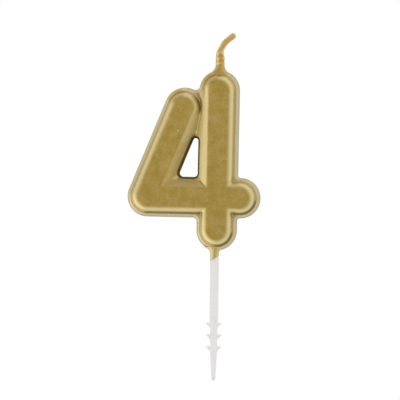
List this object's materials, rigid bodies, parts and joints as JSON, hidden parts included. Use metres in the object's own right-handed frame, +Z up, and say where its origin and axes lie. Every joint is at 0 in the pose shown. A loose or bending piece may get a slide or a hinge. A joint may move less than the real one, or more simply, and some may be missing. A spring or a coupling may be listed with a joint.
{
  "type": "number birthday candle",
  "caption": "Moulded wax numeral four with a raised rounded face on a flange, a plaited wick bent at its tip, and a barbed plastic cake pick cast into the foot.",
  "frame": {"origin": "point on the pick's axis at the end of the wax collar, level with the top of the cake when the pick is pushed fully in", "axes": "+Z up along the pick and the upright stroke, +X to the right of the numeral as read from its front, -Y out of its raised front, +Y out of its flat back"},
  "size_m": [0.0444, 0.009, 0.116],
  "materials": {
    "gold_wax": "satin metallic gold lacquer on wax, very fine flake",
    "wick_cotton": "plaited cotton, waxed and dyed gold",
    "wick_wax": "thin translucent gold wax over the yarns",
    "pick_plastic": "white moulded polypropylene, slightly translucent"
  },
  "bodies": {
    "root": {"numeral_body": "gold_wax", "wick_yarn_1": "wick_cotton", "wick_yarn_2": "wick_cotton", "wick_yarn_3": "wick_cotton", "wick_wax_sheath": "wick_wax", "cake_pick": "pick_plastic"}
  },
  "joints": []
}
